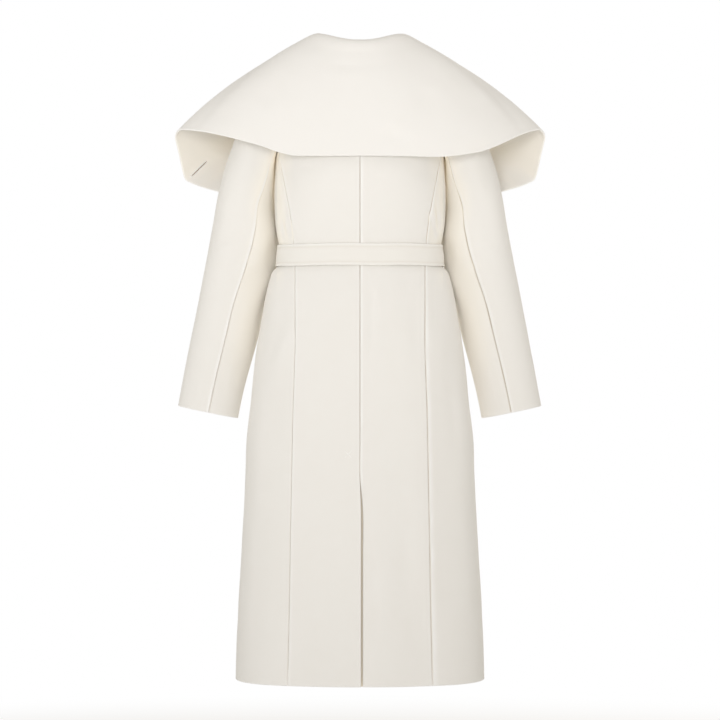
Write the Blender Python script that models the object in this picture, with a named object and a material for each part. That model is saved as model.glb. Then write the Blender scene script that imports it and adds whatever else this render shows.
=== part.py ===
"""A long wrap coat in ivory wool, filled out as when it is worn, with nobody in it.

The frame: metres, +Z up, +Y behind the wearer, +X at the wearer's left. The origin is at the
middle of the neck, level with the seams' highest points beside it. Each cloth piece is a wall
of even thickness around a surface that is worked out from the tables below. Left and right
pieces come from the same functions: these work on the left side, and the right one is mirrored.
"""

import math
from collections import namedtuple

import bmesh
import bpy
from mathutils import Vector

for leftover in list(bpy.data.objects):
    bpy.data.objects.remove(leftover, do_unlink=True)

# ---- Driving dimensions, in metres ----

CLOTH = 0.0025  # a panel's wall
COLLAR_CLOTH = 0.0034  # two layers, pressed
BELT_CLOTH = 0.003
SEAM_GAP = 0.0003
IVORY = (0.83, 0.81, 0.765, 1.0)

HEM_Z = -1.145
UNDERARM_Z = -0.200
SHOULDER_Z = -0.052  # the outer end of the shoulder seam
NAPE_Z = -0.020
NECK_HALF_WIDTH = 0.075
PRINCESS_TOP_Z = -0.187  # where the princess seam runs into the armhole

BELT_TOP_Z, BELT_BOTTOM_Z = -0.356, -0.396
BELT_ROOM = 0.0011  # between the belt and the cloth under it
BREAK_Z = -0.345  # where a lapel begins to roll
WRAP = 0.065  # how far each front passes the middle
WRAP_LIFT = 0.0042  # the upper front over the lower one
LAPEL_LIFT = 0.0120  # the upper front over the lower lapel

VENT_TOP_Z = -0.775
VENT_EDGES = {1: 0.0018, -1: -0.0050}  # how far each side's edge passes the middle
VENT_LIFT = 0.0016  # of its left edge; the right one lies as much deeper
VENT_TAPER = 0.040  # the height over which the edges part
VENT_LIFT_WIDTH = 0.035
VENT_UNDERLAP = (-0.026, 0.042)  # from and to, across the middle
UNDERLAP_GAP = 0.0005  # at its sewn top
UNDERLAP_DROP = 0.0026  # how much further it hangs from the panels below

# ---- Tables: one row for each section, seam point or fold ----

# Level sections through the torso and skirt.
Ring = namedtuple("Ring", "z half_width back_depth front_depth roundness")
RINGS = [
    Ring(0.000, 0.0750, 0.026, 0.026, 2.2),
    Ring(-0.010, 0.0990, 0.042, 0.044, 2.1),
    Ring(-0.020, 0.1230, 0.056, 0.057, 2.0),
    Ring(-0.036, 0.1580, 0.068, 0.070, 1.9),
    Ring(-0.052, 0.1950, 0.080, 0.082, 1.9),
    Ring(-0.080, 0.1810, 0.092, 0.096, 2.1),
    Ring(-0.120, 0.1650, 0.103, 0.110, 2.4),
    Ring(-0.160, 0.1560, 0.109, 0.119, 2.4),
    Ring(-0.200, 0.1520, 0.112, 0.126, 2.4),
    Ring(-0.250, 0.1545, 0.111, 0.130, 2.4),
    Ring(-0.295, 0.1542, 0.107, 0.124, 2.4),
    Ring(-0.344, 0.1484, 0.101, 0.107, 2.4),
    Ring(-0.356, 0.1456, 0.099, 0.103, 2.4),
    Ring(-0.396, 0.1490, 0.101, 0.103, 2.4),
    Ring(-0.404, 0.1572, 0.105, 0.106, 2.4),
    Ring(-0.420, 0.1632, 0.110, 0.109, 2.4),
    Ring(-0.449, 0.1700, 0.116, 0.111, 2.4),
    Ring(-0.505, 0.1797, 0.123, 0.115, 2.4),
    Ring(-0.570, 0.1895, 0.127, 0.119, 2.4),
    Ring(-0.626, 0.1947, 0.129, 0.122, 2.4),
    Ring(-0.720, 0.2049, 0.133, 0.127, 2.4),
    Ring(-0.779, 0.2067, 0.135, 0.130, 2.4),
    Ring(-0.929, 0.2149, 0.141, 0.138, 2.4),
    Ring(-1.051, 0.2218, 0.146, 0.144, 2.4),
    Ring(-1.145, 0.2246, 0.149, 0.148, 2.4),
]

# The back princess seam.
SeamPoint = namedtuple("SeamPoint", "z x")
PRINCESS = [
    SeamPoint(-0.187, 0.1475),
    SeamPoint(-0.230, 0.1390),
    SeamPoint(-0.280, 0.1290),
    SeamPoint(-0.345, 0.1195),
    SeamPoint(-0.400, 0.1165),
    SeamPoint(-0.516, 0.1160),
    SeamPoint(-0.650, 0.1190),
    SeamPoint(-0.800, 0.1220),
    SeamPoint(-1.018, 0.1265),
    SeamPoint(-1.145, 0.1300),
]

# The armhole, seen from behind.
ARMHOLE = [
    SeamPoint(-0.200, 0.1520),
    SeamPoint(-0.187, 0.1475),
    SeamPoint(-0.155, 0.1440),
    SeamPoint(-0.120, 0.1480),
    SeamPoint(-0.080, 0.1660),
    SeamPoint(-0.052, 0.1950),
]

# A front's inner edge: its lapel's roll line, from the shoulder seam down to the wrap.
ROLL_LINE = [
    SeamPoint(0.000, 0.0750),
    SeamPoint(-0.012, 0.0765),
    SeamPoint(-0.035, 0.0710),
    SeamPoint(-0.060, 0.0630),
    SeamPoint(-0.090, 0.0510),
    SeamPoint(-0.140, 0.0310),
    SeamPoint(-0.215, 0.0000),
    SeamPoint(-0.285, -0.0330),
    SeamPoint(-0.345, -0.0650),
]

# Soft folds of the torso and skirt: where the line starts and ends, round from the wearer's
# left in degrees (90 is the middle of the back), and the trough's depth (a ridge is negative).
Fold = namedtuple("Fold", "start_turn start_z end_turn end_z width depth")
FOLDS = [
    Fold(98, -0.425, 101, -0.580, 0.011, 0.0022),
    Fold(62, -0.430, 58, -0.560, 0.016, 0.0016),
    Fold(150, -0.505, 141, -0.700, 0.015, 0.0036),
    Fold(138, -0.700, 133, -0.960, 0.022, 0.0030),
    Fold(38, -0.470, 22, -0.600, 0.013, 0.0028),
    Fold(44, -0.640, 47, -0.980, 0.022, 0.0026),
    Fold(116, -0.860, 112, -1.145, 0.024, 0.0028),
    Fold(70, -0.960, 64, -1.145, 0.026, 0.0034),
    Fold(150, -0.250, 142, -0.350, 0.007, 0.0030),
    Fold(20, -0.290, 32, -0.350, 0.008, 0.0022),
    Fold(-28, -0.440, -36, -0.760, 0.018, 0.0034),
    Fold(-62, -0.450, -56, -0.820, 0.018, 0.0030),
    Fold(-116, -0.430, -124, -0.800, 0.017, 0.0034),
    Fold(-148, -0.450, -142, -0.860, 0.019, 0.0030),
    Fold(-40, -0.800, -44, -1.145, 0.026, 0.0034),
    Fold(-132, -0.860, -130, -1.145, 0.026, 0.0032),
]

# Sections through a sleeve: its outer and inner points seen from behind, and how far forward
# of its middle the inner one lies.
SleeveRing = namedtuple(
    "SleeveRing", "place outer_x outer_z inner_x inner_z middle_y half_depth inner_forward"
)
SLEEVE = [
    SleeveRing(0, 0.1965, -0.0540, 0.1562, -0.199, 0.000, 0.0560, 0.000),
    SleeveRing(1, 0.2080, -0.0900, 0.1574, -0.212, 0.000, 0.0620, 0.000),
    SleeveRing(2, 0.2195, -0.1320, 0.1572, -0.227, -0.002, 0.0650, 0.008),
    SleeveRing(3, 0.2310, -0.1720, 0.1568, -0.243, -0.004, 0.0655, 0.017),
    SleeveRing(4, 0.2450, -0.2120, 0.1564, -0.262, -0.007, 0.0650, 0.026),
    SleeveRing(5, 0.2575, -0.2620, 0.1552, -0.292, -0.011, 0.0645, 0.034),
    SleeveRing(6, 0.2670, -0.3150, 0.1495, -0.335, -0.016, 0.0630, 0.030),
    SleeveRing(7, 0.2775, -0.3700, 0.1540, -0.391, -0.023, 0.0620, 0.030),
    SleeveRing(8, 0.2915, -0.4400, 0.1735, -0.462, -0.033, 0.0600, 0.025),
    SleeveRing(9, 0.3065, -0.5130, 0.1930, -0.537, -0.043, 0.0570, 0.012),
    SleeveRing(10, 0.3205, -0.5820, 0.2115, -0.605, -0.052, 0.0535, 0.006),
    SleeveRing(11, 0.3335, -0.6500, 0.2262, -0.672, -0.060, 0.0500, 0.000),
]

# Where the seams of a sleeve run, round from its outer side in degrees (90 is behind).
SleeveSeam = namedtuple("SleeveSeam", "place back_seam front_seam")
SLEEVE_SEAMS = [
    SleeveSeam(0, 140, 222),
    SleeveSeam(3, 130, 226),
    SleeveSeam(4, 123, 228),
    SleeveSeam(5, 112, 230),
    SleeveSeam(7, 101, 234),
    SleeveSeam(8, 95, 236),
    SleeveSeam(11, 93, 238),
]

# Soft folds of a sleeve: from the section at start to the one at end.
SleeveFold = namedtuple("SleeveFold", "start_turn start end_turn end width depth")
SLEEVE_FOLDS = [
    SleeveFold(165, 6.0, 120, 7.6, 0.011, 0.0030),
    SleeveFold(185, 7.6, 140, 8.7, 0.010, 0.0026),
    SleeveFold(205, 6.6, 262, 7.7, 0.011, 0.0032),
    SleeveFold(208, 8.0, 255, 9.0, 0.010, 0.0026),
    SleeveFold(52, 3.6, 74, 6.2, 0.013, 0.0020),
]

# Ribs of the collar, from the middle of the back round the shoulder to the lapel's lower end.
# Its seam runs along the neckline and then down the roll line: the first column is its distance
# across for the neckline's rows (place 0 to 6) and its height for the roll line's.
Rib = namedtuple("Rib", "place seam rise fold edge_x edge_y edge_z arch right_sag")
NECKLINE_RIBS = 6
RIBS = [
    Rib(0, 0.0000, 0.0265, 0.0048, 0.000, 0.1215, -0.2015, 0.014, 0.000),
    Rib(1, 0.0210, 0.0260, 0.0048, 0.061, 0.1215, -0.2020, 0.014, 0.000),
    Rib(2, 0.0400, 0.0260, 0.0048, 0.119, 0.1190, -0.2010, 0.015, -0.002),
    Rib(3, 0.0550, 0.0260, 0.0048, 0.174, 0.1100, -0.1840, 0.016, -0.016),
    Rib(4, 0.0660, 0.0255, 0.0048, 0.222, 0.0930, -0.1695, 0.019, -0.021),
    Rib(5, 0.0720, 0.0245, 0.0048, 0.264, 0.0690, -0.1580, 0.021, -0.014),
    Rib(6, 0.0750, 0.0230, 0.0048, 0.298, 0.0400, -0.1505, 0.021, -0.005),
    Rib(7, -0.0030, 0.0220, 0.0048, 0.327, 0.0080, -0.1465, 0.019, 0.000),
    Rib(8, -0.0090, 0.0180, 0.0048, 0.3385, -0.0180, -0.1580, 0.022, 0.000),
    Rib(9, -0.0210, 0.0120, 0.0046, 0.333, -0.0400, -0.1880, 0.028, 0.000),
    Rib(9.6, -0.0332, 0.0084, 0.0045, 0.3272, -0.0510, -0.2160, 0.031, 0.000),
    Rib(10, -0.0420, 0.0060, 0.0044, 0.3230, -0.0570, -0.2310, 0.032, 0.000),
    Rib(10.4, -0.0520, 0.0048, 0.0043, 0.3140, -0.0610, -0.2375, 0.032, 0.000),
    Rib(11, -0.0680, 0.0032, 0.0042, 0.298, -0.0680, -0.2440, 0.032, 0.000),
    Rib(12, -0.1050, 0.0030, 0.0040, 0.262, -0.0840, -0.2540, 0.026, 0.000),
    Rib(13, -0.1550, 0.0030, 0.0038, 0.203, -0.0920, -0.2720, 0.016, 0.000),
    Rib(14, -0.2100, 0.0030, 0.0036, 0.140, -0.0900, -0.2920, 0.008, 0.000),
    Rib(15, -0.2600, 0.0030, 0.0034, 0.076, -0.1050, -0.3070, 0.002, 0.000),
    Rib(16, -0.3100, 0.0030, 0.0032, -0.002, -0.1100, -0.3190, 0.000, 0.000),
]

# Levels of the panels' rows, measured at the princess seam, armhole and shoulder seam.
BODY_LEVELS = [
    HEM_Z, -1.065, -0.985, -0.905, -0.835, -0.815, -0.775, -0.710, -0.645, -0.585,
    -0.530, -0.485, -0.445, -0.420, -0.404, -0.396, -0.356, -0.340, -0.318, -0.285,
    -0.250, -0.222,
]
ARMHOLE_LEVELS = [-0.155, -0.118, -0.080, SHOULDER_Z]
SHOULDER_LEVELS = [-0.033, -0.016, 0.0]

# ---- Curves and surfaces ----


def smooth_curve(pairs):
    """A function through the pairs that bends smoothly and overshoots none of them."""
    xs, ys = zip(*sorted(pairs))
    slopes = [(ys[i + 1] - ys[i]) / (xs[i + 1] - xs[i]) for i in range(len(xs) - 1)]
    bends = [slopes[0]]
    for before, after in zip(slopes, slopes[1:]):
        same_way = before * after > 0
        bends.append(2 * before * after / (before + after) if same_way else 0.0)
    bends.append(slopes[-1])

    def value(x):
        x = min(max(x, xs[0]), xs[-1])
        i = max(k for k in range(len(xs) - 1) if k == 0 or xs[k] <= x)
        width = xs[i + 1] - xs[i]
        t = (x - xs[i]) / width
        from_start = (1 + 2 * t) * (1 - t) ** 2 * ys[i] + t * (1 - t) ** 2 * width * bends[i]
        from_end = t * t * (3 - 2 * t) * ys[i + 1] - t * t * (1 - t) * width * bends[i + 1]
        return from_start + from_end

    return value


def curves(table):
    """A smooth curve for each column of a table, along its first column."""
    first, *others = table[0]._fields
    return {
        name: smooth_curve([(getattr(row, first), getattr(row, name)) for row in table])
        for name in others
    }


def ramp(value, start, end):
    """From 0 at start to 1 at end, with soft ends."""
    t = min(max((value - start) / (end - start), 0.0), 1.0)
    return t * t * (3 - 2 * t)


def blend(start, end, t):
    return start + (end - start) * t


def signed_power(value, power):
    return math.copysign(abs(value) ** power, value)


def fold_depth(folds, turn, place, radius, place_length):
    """How deep the folds press the cloth in at a point, beside lines drawn on it."""
    depth = 0.0
    for start_turn, start, end_turn, end, width, full in folds:
        around = math.radians(end_turn - start_turn) * radius
        down = (end - start) * place_length
        to_x = math.radians(turn - start_turn) * radius
        to_y = (place - start) * place_length
        length = math.hypot(around, down)
        along = (to_x * around + to_y * down) / length
        across = (to_x * down - to_y * around) / length
        beyond = max(-along, along - length, 0.0)
        depth += full * math.exp(-((across / width) ** 2) - (beyond / (3 * width)) ** 2)
    return depth


ring = curves(RINGS)
princess_x = curves(PRINCESS)["x"]
armhole_x = curves(ARMHOLE)["x"]
roll_x = curves(ROLL_LINE)["x"]
FOLD_RADIUS = 0.17  # of the torso, for the folds' widths


def torso_point(turn, z, folded=True):
    """The middle of the cloth, turn degrees round from the wearer's left at level z."""
    power = 2 / ring["roundness"](z)
    side, back = math.cos(math.radians(turn)), math.sin(math.radians(turn))
    depth = ring["back_depth" if back >= 0 else "front_depth"](z)
    point = Vector((
        ring["half_width"](z) * signed_power(side, power),
        depth * signed_power(back, power),
        z,
    ))
    pressed = fold_depth(FOLDS, turn, z, FOLD_RADIUS, 1.0) if folded else 0.0
    return point - Vector((side, back, 0)) * pressed


def torso(turn, z, out=0.0, folded=True):
    """A point of the torso, moved out across the cloth."""
    step_turn, step_z = 0.2, 0.0005

    def near(turn_by, z_by):
        return torso_point(turn + turn_by, z + z_by, folded)

    around = near(step_turn, 0) - near(-step_turn, 0)
    up = near(0, step_z) - near(0, -step_z)
    return near(0, 0) + around.cross(up).normalized() * out


def turn_at(x, z, front=False):
    """Where the torso has that x at level z, in degrees, behind or in front."""
    share = min(max(x / ring["half_width"](z), -1.0), 1.0)
    turn = math.degrees(math.acos(signed_power(share, ring["roundness"](z) / 2)))
    return -turn if front else turn


# ---- Making a cloth wall ----


def cloth_material(name, colour, roughness):
    material = bpy.data.materials.new(name)
    material.use_nodes = True
    shader = material.node_tree.nodes["Principled BSDF"]
    shader.inputs["Base Color"].default_value = colour
    shader.inputs["Roughness"].default_value = roughness
    shader.inputs["Metallic"].default_value = 0.0
    return material


coat = bpy.data.objects.new("coat", None)
bpy.context.collection.objects.link(coat)


def finish_piece(name, mesh):
    """Puts a closed mesh in the scene as a named piece of the coat."""
    bmesh.ops.recalc_face_normals(mesh, faces=mesh.faces)
    data = bpy.data.meshes.new(name)
    mesh.to_mesh(data)
    mesh.free()
    data.shade_smooth()
    data.set_sharp_from_angle(angle=math.radians(50))
    data.materials.append(cloth_material(name, IVORY, 0.8))
    piece = bpy.data.objects.new(name, data)
    bpy.context.collection.objects.link(piece)
    piece.parent = coat


def normal_at(surface, u, v, us, vs):
    """The surface's normal, from steps that stay on the piece."""
    step_u, step_v = (us[-1] - us[0]) * 1e-4, (vs[-1] - vs[0]) * 1e-4
    low_u, high_u = sorted((us[0], us[-1]))
    low_v, high_v = sorted((vs[0], vs[-1]))

    def near(du, dv):
        return surface(min(max(u + du, low_u), high_u), min(max(v + dv, low_v), high_v))

    across = near(step_u, 0) - near(-step_u, 0)
    along = near(0, step_v) - near(0, -step_v)
    return across.cross(along).normalized()


def draw_in(rows):
    """Draws a grid's border in by half a seam's gap."""
    lines = list(rows) + [list(column) for column in zip(*rows)]
    moves = []
    for line in lines:
        for end, inner in ((0, 1), (-1, -2)):
            moves.append((line[end], (line[inner] - line[end]).normalized() * SEAM_GAP / 2))
    for point, move in moves:
        point += move


def wall(name, surface, us, vs, thickness=CLOTH, closed=False):
    """A closed wall of even thickness around surface(u, v), open-ended unless it is closed."""
    rows = [[surface(u, v) for u in us] for v in vs]
    normals = [[normal_at(surface, u, v, us, vs) for u in us] for v in vs]
    if closed:
        rows = [row[:-1] for row in rows]
    else:
        draw_in(rows)
    mesh = bmesh.new()
    faces = [
        [
            [mesh.verts.new(p + n * thickness / 2 * side) for p, n in zip(row, row_normals)]
            for row, row_normals in zip(rows, normals)
        ]
        for side in (1, -1)
    ]
    across = len(rows[0])
    for grid in faces:
        for lower, upper in zip(grid, grid[1:]):
            for i in range(across if closed else across - 1):
                j = (i + 1) % across
                mesh.faces.new((lower[i], lower[j], upper[j], upper[i]))
    outer, inner = faces
    for k in (0, -1):
        for i in range(across if closed else across - 1):
            j = (i + 1) % across
            mesh.faces.new((outer[k][i], outer[k][j], inner[k][j], inner[k][i]))
    if not closed:
        for i in (0, -1):
            for k in range(len(rows) - 1):
                mesh.faces.new((outer[k][i], outer[k + 1][i], inner[k + 1][i], inner[k][i]))
    finish_piece(name, mesh)


def steps(start, end, count):
    return [blend(start, end, k / count) for k in range(count + 1)]


def mirrored(side, point):
    """The wearer's left is side 1, and the right is side -1."""
    return Vector((side * point.x, point.y, point.z))


SIDES = {"left": 1, "right": -1}

# ---- Centre back panels, with the vent's edges ----


def parted(x, z):
    """How far the vent's edges have parted, from 0 at its top and beside it to 1."""
    below = ramp(z, VENT_TOP_Z, VENT_TOP_Z - VENT_TAPER)
    return below * ramp(abs(x), VENT_LIFT_WIDTH, 0.0)


def back_panel(side):
    """From the middle of the back to the princess seam, armhole and shoulder seam."""

    def surface(u, level):
        if level < PRINCESS_TOP_Z:
            middle_z, edge_x = level, princess_x(level)
        else:
            share = (level - PRINCESS_TOP_Z) / -PRINCESS_TOP_Z
            middle_z = blend(PRINCESS_TOP_Z, NAPE_Z, share)
            edge_x = armhole_x(level) if level < SHOULDER_Z else ring["half_width"](level)
        spread = ramp(level, PRINCESS_TOP_Z, SHOULDER_Z)
        share = blend(u, math.sin(u * math.pi / 2), spread)
        opened = ramp(level, VENT_TOP_Z, VENT_TOP_Z - 1.5 * VENT_TAPER)
        past = VENT_EDGES[side] * opened
        x = blend(-past, edge_x, share)
        z = blend(middle_z, level, share * share)
        return mirrored(side, torso(turn_at(x, z), z, side * VENT_LIFT * parted(x, z)))

    return surface


BACK_LEVELS = BODY_LEVELS + [PRINCESS_TOP_Z] + ARMHOLE_LEVELS + SHOULDER_LEVELS
for name, side in SIDES.items():
    wall(f"back_{name}", back_panel(side), steps(0.0, 1.0, 7), BACK_LEVELS)


def vent_underlap(x, z):
    """Hangs inside both centre back panels, along the vent."""
    drop = UNDERLAP_DROP * ramp(z, VENT_TOP_Z, VENT_TOP_Z - VENT_TAPER)
    return torso(turn_at(x, z), z, -(VENT_LIFT * parted(x, z) + CLOTH + UNDERLAP_GAP + drop))


underlap_levels = [z for z in BODY_LEVELS if z <= VENT_TOP_Z]
wall("vent_underlap", vent_underlap, steps(*VENT_UNDERLAP, 4), underlap_levels)

# ---- Side back panels ----


def side_back_panel(side):
    """From the princess seam round to the side seam."""

    def surface(u, level):
        drop = (UNDERARM_Z - PRINCESS_TOP_Z) * ramp(level, BODY_LEVELS[-1], PRINCESS_TOP_Z)
        z = level + drop * u
        turn = blend(turn_at(princess_x(level), level), 0.0, u)
        return mirrored(side, torso(turn, z))

    return surface


for name, side in SIDES.items():
    levels = BODY_LEVELS + [PRINCESS_TOP_Z]
    wall(f"side_back_{name}", side_back_panel(side), steps(0.0, 1.0, 4), levels)

# ---- Fronts: the wearer's right one wraps over the left one ----

FOLD_REACH = 0.012  # of the lower lapel's fold, past its roll line
LIFT_RAMP = 0.035
LIFT_RISE = 0.026  # the height above the belt over which the lift grows to the lapel's


def front_lift(side, x, z):
    """How far the upper front stands out over the lower front and its lapel."""
    if side > 0:
        return 0.0
    lift = blend(WRAP_LIFT, LAPEL_LIFT, ramp(z, BELT_TOP_Z, BELT_TOP_Z + LIFT_RISE))
    other_edge = FOLD_REACH - (roll_x(z) if z > BREAK_Z else -WRAP)
    return lift * ramp(x, other_edge + LIFT_RAMP, other_edge)


def front_edge(z):
    """The roll line above, and the wrap's straight edge below it."""
    return roll_x(z) if z > BREAK_Z else -WRAP


def front_panel(side):
    """From the side seam and armhole to the roll line and the wrap's edge."""

    def surface(u, level):
        if level < UNDERARM_Z:
            outer_turn, inner_z = 0.0, level
        else:
            outer_turn = turn_at(armhole_x(level), level, front=True)
            inner_z = UNDERARM_Z * (SHOULDER_Z - level) / (SHOULDER_Z - UNDERARM_Z)
        inner_turn = turn_at(front_edge(inner_z), inner_z, front=True)
        turn, z = blend(outer_turn, inner_turn, u), blend(level, inner_z, u)
        lift = front_lift(side, torso_point(turn, z).x, z)
        return mirrored(side, torso(turn, z, lift))

    return surface


FRONT_COLUMNS = steps(0.0, 0.40, 4)[:-1] + steps(0.40, 1.0, 9)  # closer where the fronts lap
FRONT_LEVELS = BODY_LEVELS + [UNDERARM_Z] + ARMHOLE_LEVELS
for name, side in SIDES.items():
    wall(f"front_{name}", front_panel(side), FRONT_COLUMNS, FRONT_LEVELS)

# ---- Sleeves, in two pieces ----

sleeve_ring = curves(SLEEVE)
back_seam = curves(SLEEVE_SEAMS)["back_seam"]
front_seam = curves(SLEEVE_SEAMS)["front_seam"]
SLEEVE_ROUNDNESS = 2.15
CAP_END = 3  # the section where the cap has become a plain tube
CAP_GAP, UNDERARM_GAP = 0.0028, 0.0042  # between the armhole's and the sleeve's cloth
SLEEVE_RADIUS, SLEEVE_SECTION = 0.06, 0.065  # for the folds' widths and lengths
SEAM_RIDGE, SEAM_RIDGE_WIDTH = 0.0022, 22  # of the worn back seam: height, and degrees round


def armhole_point(turn):
    """The armhole, round from the shoulder's end (0) by the back (90) and the underarm (180)."""
    middle, half = (SHOULDER_Z + UNDERARM_Z) / 2, (SHOULDER_Z - UNDERARM_Z) / 2
    z = middle + half * math.cos(math.radians(turn))
    point = torso(turn_at(armhole_x(z), z, front=turn > 180), z)
    gap = blend(CAP_GAP, UNDERARM_GAP, ((1 - math.cos(math.radians(turn))) / 2) ** 2)
    return point + Vector((gap, 0, 0))


def sleeve_section(turn, place):
    outer = Vector((sleeve_ring["outer_x"](place), 0, sleeve_ring["outer_z"](place)))
    inner = Vector((sleeve_ring["inner_x"](place), 0, sleeve_ring["inner_z"](place)))
    power = 2 / SLEEVE_ROUNDNESS
    across = signed_power(math.cos(math.radians(turn)), power)
    back = signed_power(math.sin(math.radians(turn)), power)
    pressed = fold_depth(SLEEVE_FOLDS, turn % 360, place, SLEEVE_RADIUS, SLEEVE_SECTION)
    from_seam = (turn + 180 - back_seam(place)) % 360 - 180
    ridge = SEAM_RIDGE * math.exp(-((from_seam / SEAM_RIDGE_WIDTH) ** 2))
    size = 1 + (ridge - pressed) / SLEEVE_RADIUS
    point = (outer + inner) / 2 + (outer - inner) / 2 * across * size
    forward = sleeve_ring["inner_forward"](place) * ((1 - across) / 2) ** 2
    depth = sleeve_ring["half_depth"](place) * back * size
    point.y = sleeve_ring["middle_y"](place) + depth - forward
    return point


def sleeve(side, seam_before, seam_after):
    """The sleeve's cloth between two seams, u from the one to the other."""

    def surface(u, place):
        turn = blend(seam_before(place), seam_after(place), u)
        point = sleeve_section(turn, place)
        if place < CAP_END:
            point = armhole_point(turn % 360).lerp(point, ramp(place, 0, CAP_END))
        return mirrored(side, point)

    return surface


SLEEVE_PLACES = [0, 0.7, 1.4, 2.1, 3, 4, 5, 6, 6.7, 7.4, 8.1, 9, 10, 11]
for name, side in SIDES.items():
    under = sleeve(side, back_seam, front_seam)
    upper = sleeve(side, lambda place: front_seam(place) - 360, back_seam)
    wall(f"sleeve_{name}_under", under, steps(0.0, 1.0, 6), SLEEVE_PLACES)
    wall(f"sleeve_{name}_upper", upper, steps(0.0, 1.0, 12), SLEEVE_PLACES)

# ---- Collar: rolled at the neck, with its lapels cut in one ----

rib = curves(RIBS)
neckline_x = smooth_curve([(row.place, row.seam) for row in RIBS[: NECKLINE_RIBS + 1]])
roll_z = smooth_curve(
    [(NECKLINE_RIBS, 0.0)] + [(row.place, row.seam) for row in RIBS[NECKLINE_RIBS + 1 :]]
)
NECK_DEPTH = 0.056
SEAT_GAP = 0.0016  # the collar over the neckline's and the roll line's cloth
LEG_POINTS, FOLD_POINTS, FALL_POINTS = 2, 4, 8
SHOULDER_ROOM = 0.0056  # between the middles of the collar's and the shoulder's cloth
PAST_SHOULDER = (8, 11)  # the ribs from and to which the room changes to the lapel's
ROOM_SOFTNESS = 0.02
LEAST_SLOPE = 0.3


def collar_seam(side, place):
    """The collar's seam, in the left side's terms."""
    if place <= NECKLINE_RIBS:
        x = neckline_x(place)
        z = NAPE_Z * (1 - (x / NECK_HALF_WIDTH) ** 2)
        return torso(turn_at(x, z), z)
    z = roll_z(place)
    x = roll_x(z)
    return torso(turn_at(x, z, front=True), z, front_lift(side, x, z))


def outward(point):
    """Level, away from the neck or chest."""
    neck = Vector((point.x / NECK_HALF_WIDTH**2, point.y / NECK_DEPTH**2, 0)).normalized()
    turn = turn_at(point.x, point.z, front=True)
    chest = (torso(turn, point.z, 1.0) - torso(turn, point.z)).normalized()
    return neck.lerp(chest, ramp(point.z, -0.04, -0.12)).normalized()


def clear_of_torso(point, room):
    """Moves a point of the collar out to where it lies on the torso's cloth."""
    z = min(point.z, -0.002)
    depth = ring["back_depth" if point.y > 0 else "front_depth"](z)
    power = ring["roundness"](z)
    half_width = ring["half_width"](z)
    size = (abs(point.x / half_width) ** power + abs(point.y / depth) ** power) ** (1 / power)
    turn = turn_at(point.x / size, z, front=point.y < 0)
    slope = torso(turn, z, 1.0) - torso(turn, z)
    radius = math.hypot(point.x, point.y) / size * max(slope.xy.length, LEAST_SLOPE)
    short = 1 + room / radius - size
    size_out = size + (short + math.hypot(short, ROOM_SOFTNESS)) / 2
    return Vector((point.x * size_out / size, point.y * size_out / size, point.z))


def collar_rib(side, place):
    """A rib's points: up the leg, over the fold and down to the edge."""
    step = 0.02
    seam = collar_seam(side, place)
    before = collar_seam(side, max(place - step, 0))
    after = collar_seam(side, place + step)
    way = after - before if place else Vector((1, 0, 0))
    out = outward(seam) if place else Vector((0, 1, 0))
    over = way.cross(out).normalized()
    out = over.cross(way).normalized()
    rise, fold = rib["rise"](place), rib["fold"](place)
    leg = [seam + over * blend(SEAT_GAP, rise, k / LEG_POINTS) for k in range(LEG_POINTS + 1)]
    centre = leg[-1] + out * fold
    edge = Vector((rib["edge_x"](place), rib["edge_y"](place), rib["edge_z"](place)))
    if side < 0:
        edge.z += rib["right_sag"](place)
    line = (edge - centre).normalized()
    bulge = (out - line * out.dot(line)).normalized()
    control = (centre + edge) / 2 + bulge * 2 * rib["arch"](place)
    to_control = control - centre
    end = math.atan2(to_control.dot(out), to_control.dot(over)) % math.tau
    curl = [
        centre - out * fold * math.cos(end * k / FOLD_POINTS)
        + over * fold * math.sin(end * k / FOLD_POINTS)
        for k in range(1, FOLD_POINTS + 1)
    ]
    fall = []
    for k in range(1, FALL_POINTS + 1):
        t = k / FALL_POINTS
        point = curl[-1] * (1 - t) ** 2 + control * 2 * t * (1 - t) + edge * t * t
        room = blend(SHOULDER_ROOM, 2 * fold, ramp(place, *PAST_SHOULDER))
        room += front_lift(side, point.x, point.z) * (point.y < 0)
        fall.append(clear_of_torso(point, room))
    return leg + curl + fall


def collar(u, place):
    """The collar's middle surface, u counting along a rib's points."""
    side = 1 if place >= 0 else -1
    points = collar_rib(side, abs(place))
    i = min(int(u), len(points) - 2)
    return mirrored(side, points[i].lerp(points[i + 1], u - i))


rib_points = LEG_POINTS + 1 + FOLD_POINTS + FALL_POINTS
last_rib = RIBS[-1].place
half_steps = [k / 2 for k in range(-2 * last_rib, 2 * last_rib + 1)]
wall("collar", collar, list(range(rib_points)), half_steps, COLLAR_CLOTH)

# ---- Belt and its tie ----


BELT_OVER_WRAP = ((-0.130, -0.090), (0.105, 0.070))  # where it rises over the lapped fronts
BELT_SEGMENTS = 72


def belt(turn, z):
    """All round the waist, over both fronts."""
    out = CLOTH / 2 + BELT_ROOM + BELT_CLOTH / 2
    if turn > 180:
        x = torso_point(turn, z).x
        right, left = BELT_OVER_WRAP
        out += WRAP_LIFT * ramp(x, *right) * ramp(x, *left)
    return torso(turn, z, out, folded=False)


turns = steps(0, 360, BELT_SEGMENTS)
wall("belt", belt, turns, [BELT_BOTTOM_Z, BELT_TOP_Z], BELT_CLOTH, closed=True)

KNOT_HALF = Vector((0.0215, 0.0105, 0.0245))
KNOT_X = 0.004
KNOT_ROUNDNESS = 3.6
KNOT_TAPER = 0.14  # narrower below
KNOT_SLANT = 0.12
KNOT_SEGMENTS = (20, 12)
BELT_OUT = CLOTH / 2 + BELT_ROOM + BELT_CLOTH + WRAP_LIFT  # its outer face in front


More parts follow.
